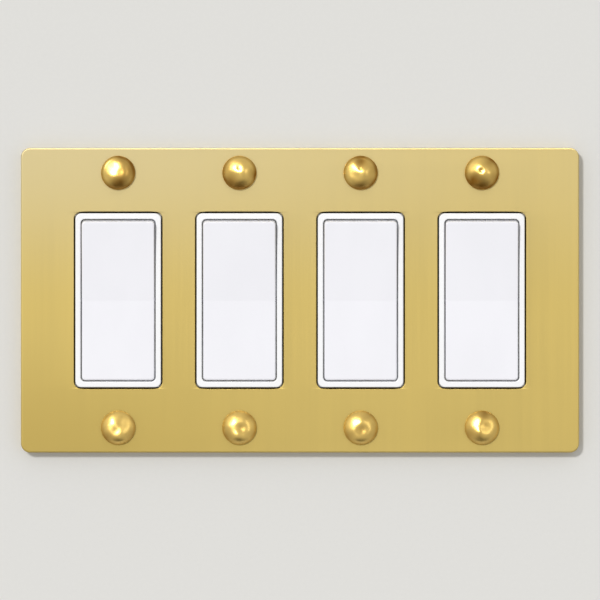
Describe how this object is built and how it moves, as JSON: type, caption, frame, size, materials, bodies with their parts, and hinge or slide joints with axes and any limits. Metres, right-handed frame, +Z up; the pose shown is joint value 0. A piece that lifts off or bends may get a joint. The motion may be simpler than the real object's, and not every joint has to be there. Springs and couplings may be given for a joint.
{
  "type": "rocker light switch",
  "caption": "Multi-gang wall switch: flat brushed-brass plate with domed brass screws and white tilting rockers in white bezels, with strap, housing and contacts behind.",
  "frame": {"origin": "middle of the wall plate's back rim, in the plane of the wall", "axes": "+X along the row of switches to the right as seen from the room, +Y into the wall, +Z up; the front faces -Y"},
  "size_m": [0.212, 0.0337, 0.1158],
  "materials": {
    "plate_brass": "satin",
    "dome_brass": "satin",
    "bezel_white": "gloss",
    "rocker_white": "gloss",
    "plunger_nylon": "satin",
    "spring_steel": "satin",
    "strap_steel": "satin",
    "housing_plastic": "matte",
    "terminal_brass": "satin",
    "contact_copper": "satin",
    "contact_silver": "satin",
    "terminal_screw_brass": "satin",
    "clamp_steel": "satin",
    "earth_green": "satin",
    "screw_steel": "satin",
    "washer_fibre": "matte",
    "rivet_steel": "satin"
  },
  "bodies": {
    "fixed": {"wall_plate": "plate_brass", "dome_screws": "dome_brass", "terminal_screws": "terminal_screw_brass", "clamp_plates": "clamp_steel", "earth_screws": "earth_green", "box_screws": "screw_steel", "screw_washers": "washer_fibre", "strap_rivets": "rivet_steel", "fixed_contacts": "contact_silver", "bezel_1": "bezel_white", "mounting_strap_1": "strap_steel", "rear_housing_1": "housing_plastic", "common_terminal_1": "terminal_brass", "load_terminal_1": "terminal_brass", "bezel_2": "bezel_white", "mounting_strap_2": "strap_steel", "rear_housing_2": "housing_plastic", "common_terminal_2": "terminal_brass", "load_terminal_2": "terminal_brass", "bezel_3": "bezel_white", "mounting_strap_3": "strap_steel", "rear_housing_3": "housing_plastic", "common_terminal_3": "terminal_brass", "load_terminal_3": "terminal_brass", "bezel_4": "bezel_white", "mounting_strap_4": "strap_steel", "rear_housing_4": "housing_plastic", "common_terminal_4": "terminal_brass", "load_terminal_4": "terminal_brass"},
    "rocker_body_1": {"rocker_1": "rocker_white", "plunger_spring_1": "spring_steel"},
    "plunger_body_1": {"plunger_1": "plunger_nylon"},
    "contact_arm_body_1": {"contact_arm_1": "contact_copper", "moving_contact_1": "contact_silver"},
    "rocker_body_2": {"rocker_2": "rocker_white", "plunger_spring_2": "spring_steel"},
    "plunger_body_2": {"plunger_2": "plunger_nylon"},
    "contact_arm_body_2": {"contact_arm_2": "contact_copper", "moving_contact_2": "contact_silver"},
    "rocker_body_3": {"rocker_3": "rocker_white", "plunger_spring_3": "spring_steel"},
    "plunger_body_3": {"plunger_3": "plunger_nylon"},
    "contact_arm_body_3": {"contact_arm_3": "contact_copper", "moving_contact_3": "contact_silver"},
    "rocker_body_4": {"rocker_4": "rocker_white", "plunger_spring_4": "spring_steel"},
    "plunger_body_4": {"plunger_4": "plunger_nylon"},
    "contact_arm_body_4": {"contact_arm_4": "contact_copper", "moving_contact_4": "contact_silver"}
  },
  "joints": [
    {"name": "rocker_1_tilt", "type": "hinge", "parent": "fixed", "child": "rocker_body_1", "pos_m": [-0.06906, -0.0025, 0], "axis": [1, 0, 0], "range_deg": [-6, 0]},
    {"name": "contact_arm_1_tilt", "type": "hinge", "parent": "fixed", "child": "contact_arm_body_1", "pos_m": [-0.06906, 0.0168, 0], "axis": [1, 0, 0], "range_deg": [0, 12]},
    {"name": "plunger_1_slide", "type": "slide", "parent": "rocker_body_1", "child": "plunger_body_1", "axis": [0, -0.9986, -0.0523], "range_m": [0, 0.0008], "stiffness_N_per_m": 600, "springref_m": -0.004, "deforming": ["plunger_spring_1"]},
    {"name": "rocker_2_tilt", "type": "hinge", "parent": "fixed", "child": "rocker_body_2", "pos_m": [-0.02302, -0.0025, 0], "axis": [1, 0, 0], "range_deg": [-6, 0]},
    {"name": "contact_arm_2_tilt", "type": "hinge", "parent": "fixed", "child": "contact_arm_body_2", "pos_m": [-0.02302, 0.0168, 0], "axis": [1, 0, 0], "range_deg": [0, 12]},
    {"name": "plunger_2_slide", "type": "slide", "parent": "rocker_body_2", "child": "plunger_body_2", "axis": [0, -0.9986, -0.0523], "range_m": [0, 0.0008], "stiffness_N_per_m": 600, "springref_m": -0.004, "deforming": ["plunger_spring_2"]},
    {"name": "rocker_3_tilt", "type": "hinge", "parent": "fixed", "child": "rocker_body_3", "pos_m": [0.02302, -0.0025, 0], "axis": [1, 0, 0], "range_deg": [-6, 0]},
    {"name": "contact_arm_3_tilt", "type": "hinge", "parent": "fixed", "child": "contact_arm_body_3", "pos_m": [0.02302, 0.0168, 0], "axis": [1, 0, 0], "range_deg": [0, 12]},
    {"name": "plunger_3_slide", "type": "slide", "parent": "rocker_body_3", "child": "plunger_body_3", "axis": [0, -0.9986, -0.0523], "range_m": [0, 0.0008], "stiffness_N_per_m": 600, "springref_m": -0.004, "deforming": ["plunger_spring_3"]},
    {"name": "rocker_4_tilt", "type": "hinge", "parent": "fixed", "child": "rocker_body_4", "pos_m": [0.06906, -0.0025, 0], "axis": [1, 0, 0], "range_deg": [-6, 0]},
    {"name": "contact_arm_4_tilt", "type": "hinge", "parent": "fixed", "child": "contact_arm_body_4", "pos_m": [0.06906, 0.0168, 0], "axis": [1, 0, 0], "range_deg": [0, 12]},
    {"name": "plunger_4_slide", "type": "slide", "parent": "rocker_body_4", "child": "plunger_body_4", "axis": [0, -0.9986, -0.0523], "range_m": [0, 0.0008], "stiffness_N_per_m": 600, "springref_m": -0.004, "deforming": ["plunger_spring_4"]}
  ],
  "couplings": [
    {"joint": "contact_arm_1_tilt", "follows": "rocker_1_tilt", "ratio": -2},
    {"joint": "contact_arm_2_tilt", "follows": "rocker_2_tilt", "ratio": -2},
    {"joint": "contact_arm_3_tilt", "follows": "rocker_3_tilt", "ratio": -2},
    {"joint": "contact_arm_4_tilt", "follows": "rocker_4_tilt", "ratio": -2}
  ]
}
